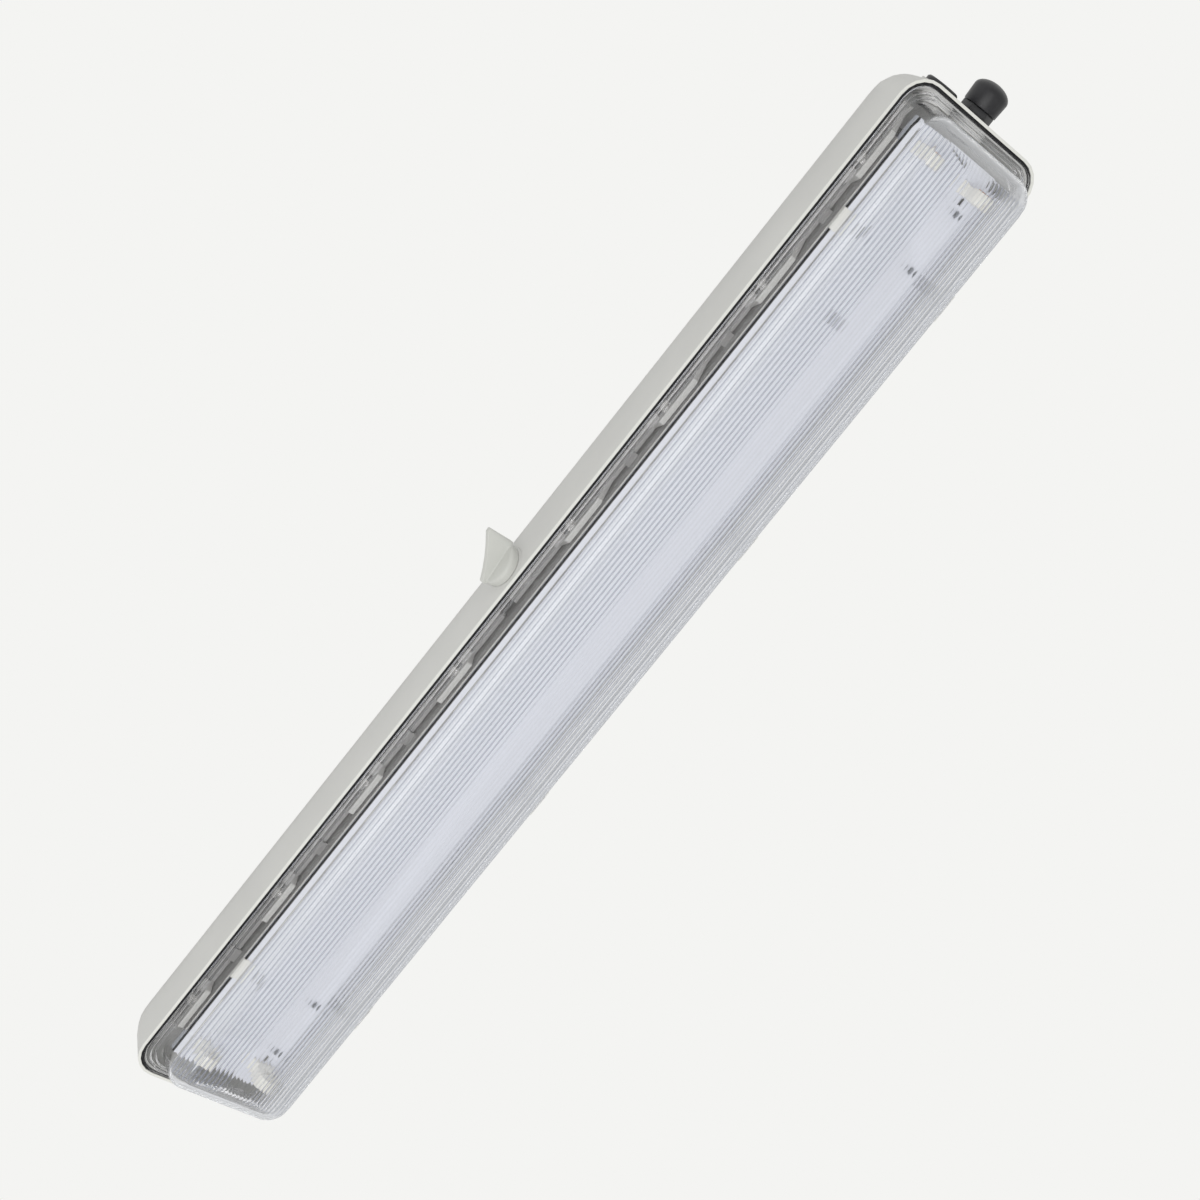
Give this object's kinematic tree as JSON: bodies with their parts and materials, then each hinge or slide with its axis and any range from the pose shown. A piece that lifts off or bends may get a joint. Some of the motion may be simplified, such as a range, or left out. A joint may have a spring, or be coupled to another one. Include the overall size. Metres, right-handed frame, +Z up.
{
  "type": "vapor tight light fixture",
  "caption": "Long ceiling light in a moulded tub with a clear ribbed bowl that hinges down, closed by a central knob that drives two hooked lock bars.",
  "frame": {"origin": "centre of the flat back that meets the ceiling", "axes": "+X along the fixture towards the cable gland, +Y towards the hinge side, +Z up to the ceiling"},
  "size_m": [1.3684, 0.2444, 0.1148],
  "materials": {
    "housing": "moulded, lightly satin",
    "gasket": "foamed, matt",
    "bowl": "clear ribbed acrylic, gloss",
    "gear_tray": "white powder coat",
    "lock_knob": "moulded, lightly satin",
    "lock_pinion": "moulded",
    "lock_bar": "moulded",
    "shaft_seal": "matt",
    "tray_screw": "zinc plated",
    "hinge_pin": "drawn",
    "lampholder": "white moulded",
    "rotor": "white moulded",
    "contact": "phosphor bronze",
    "lamp_wire": "insulation",
    "ballast": "white lacquer",
    "terminal_block": "white moulded",
    "gland_body": "black polyamide",
    "gland_washer": "matt",
    "gland_cap": "black polyamide",
    "lock_nut": "black polyamide",
    "blanking_plug": "black polyamide"
  },
  "bodies": {
    "housing": {"housing": "housing", "gasket": "gasket", "gear_tray": "gear_tray", "tray_screw_1": "tray_screw", "tray_screw_2": "tray_screw", "tray_screw_3": "tray_screw", "tray_screw_4": "tray_screw", "hinge_pin_1": "hinge_pin", "hinge_pin_2": "hinge_pin", "hinge_pin_3": "hinge_pin", "hinge_pin_4": "hinge_pin", "shaft_seal": "shaft_seal", "ballast": "ballast", "terminal_block": "terminal_block", "mains_link": "lamp_wire", "gland_body": "gland_body", "gland_washer": "gland_washer", "gland_cap": "gland_cap", "gland_lock_nut": "lock_nut", "blanking_plug": "blanking_plug", "plug_lock_nut": "lock_nut", "lampholder_left_near": "lampholder", "contact_left_near_1": "contact", "contact_left_near_2": "contact", "lamp_wire_left_near": "lamp_wire", "lampholder_left_far": "lampholder", "contact_left_far_1": "contact", "contact_left_far_2": "contact", "lamp_wire_left_far": "lamp_wire", "lampholder_right_near": "lampholder", "contact_right_near_1": "contact", "contact_right_near_2": "contact", "lamp_wire_right_near": "lamp_wire", "lampholder_right_far": "lampholder", "contact_right_far_1": "contact", "contact_right_far_2": "contact", "lamp_wire_right_far": "lamp_wire"},
    "bowl": {"bowl": "bowl"},
    "lock": {"lock_knob": "lock_knob", "lock_pinion": "lock_pinion"},
    "bar_left": {"lock_bar_left": "lock_bar"},
    "bar_right": {"lock_bar_right": "lock_bar"},
    "rotor_left_near": {"rotor_left_near": "rotor"},
    "rotor_left_far": {"rotor_left_far": "rotor"},
    "rotor_right_near": {"rotor_right_near": "rotor"},
    "rotor_right_far": {"rotor_right_far": "rotor"}
  },
  "joints": [
    {"name": "bowl_hinge", "type": "hinge", "parent": "housing", "child": "bowl", "pos_m": [0, 0.1025, -0.0585], "axis": [1, 0, 0], "range_deg": [0, 95]},
    {"name": "lock_turn", "type": "hinge", "parent": "housing", "child": "lock", "pos_m": [0.019, -0.098, -0.03], "axis": [0, -1, 0], "range_deg": [0, 90]},
    {"name": "bar_left_slide", "type": "slide", "parent": "housing", "child": "bar_left", "axis": [-1, 0, 0], "range_m": [0, 0.01257]},
    {"name": "bar_right_slide", "type": "slide", "parent": "housing", "child": "bar_right", "axis": [1, 0, 0], "range_m": [0, 0.01257]},
    {"name": "rotor_left_near_turn", "type": "hinge", "parent": "housing", "child": "rotor_left_near", "pos_m": [-0.6045, -0.038, -0.0835], "axis": [1, 0, 0], "range_deg": [0, 90]},
    {"name": "rotor_left_far_turn", "type": "hinge", "parent": "housing", "child": "rotor_left_far", "pos_m": [-0.6045, 0.038, -0.0835], "axis": [1, 0, 0], "range_deg": [0, 90]},
    {"name": "rotor_right_near_turn", "type": "hinge", "parent": "housing", "child": "rotor_right_near", "pos_m": [0.6045, -0.038, -0.0835], "axis": [1, 0, 0], "range_deg": [0, 90]},
    {"name": "rotor_right_far_turn", "type": "hinge", "parent": "housing", "child": "rotor_right_far", "pos_m": [0.6045, 0.038, -0.0835], "axis": [1, 0, 0], "range_deg": [0, 90]}
  ],
  "couplings": [
    {"joint": "bar_left_slide", "follows": "lock_turn", "m_per_rad": 0.008},
    {"joint": "bar_right_slide", "follows": "lock_turn", "m_per_rad": 0.008}
  ]
}
